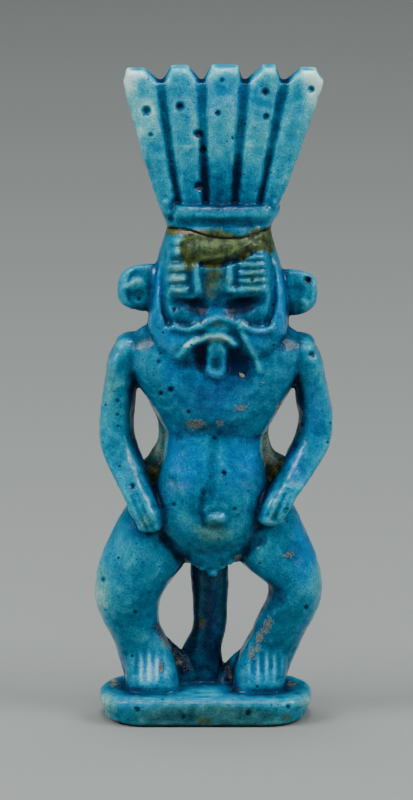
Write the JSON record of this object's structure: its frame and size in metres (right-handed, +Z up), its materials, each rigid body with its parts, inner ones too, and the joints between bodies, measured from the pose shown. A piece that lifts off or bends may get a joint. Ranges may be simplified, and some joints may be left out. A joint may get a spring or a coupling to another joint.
{
  "type": "bes figure",
  "caption": "Small moulded faience figure of Bes, a bandy-legged dwarf with hands on hips, lion's ears and tail and a tall plumed crown, standing on a low rounded plinth.",
  "frame": {"origin": "middle of the plinth's underside, on the surface it stands on", "axes": "+Z up along the figure's height, the figure faces -Y, +X to the viewer's right"},
  "size_m": [0.0255, 0.0122, 0.072],
  "materials": {
    "faience": "blue-green glazed faience, glossy, pitted, worn pale along its edges"
  },
  "bodies": {
    "root": {"bes_figure": "faience"}
  },
  "joints": []
}
